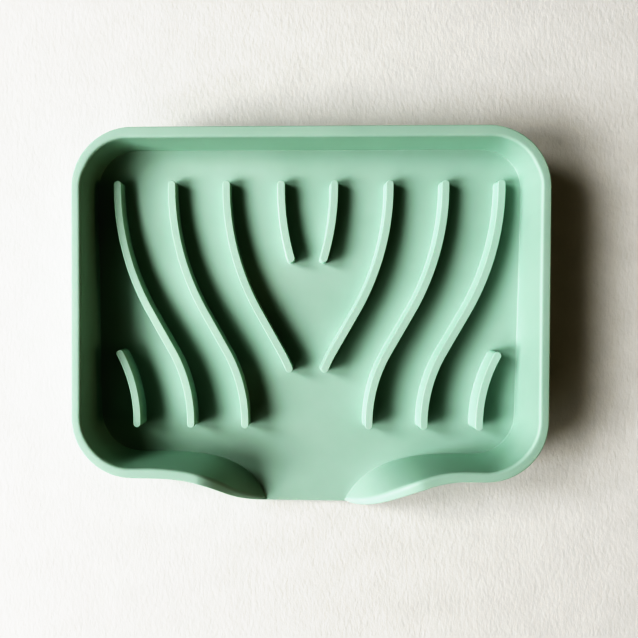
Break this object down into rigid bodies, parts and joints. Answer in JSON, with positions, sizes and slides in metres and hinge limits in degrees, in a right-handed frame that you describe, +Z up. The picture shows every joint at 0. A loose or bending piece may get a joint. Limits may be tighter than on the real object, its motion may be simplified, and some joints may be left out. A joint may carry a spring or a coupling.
{
  "type": "soap dish",
  "caption": "Rectangular silicone soap dish with a rounded rim, a sloping floor, raised S-curved drainage ribs and a pour spout at the front.",
  "frame": {"origin": "centre of the whole footprint, on the surface that the dish stands on", "axes": "+X across the dish to the right, +Y towards the back wall, +Z up; the pour spout points to -Y"},
  "size_m": [0.12, 0.0988, 0.02],
  "materials": {
    "silicone": "satin mint-green silicone"
  },
  "bodies": {
    "root": {"tray": "silicone", "rib_left_1": "silicone", "rib_left_2": "silicone", "rib_left_3": "silicone", "rib_left_4": "silicone", "rib_left_5": "silicone", "rib_right_1": "silicone", "rib_right_2": "silicone", "rib_right_3": "silicone", "rib_right_4": "silicone", "rib_right_5": "silicone"}
  },
  "joints": []
}
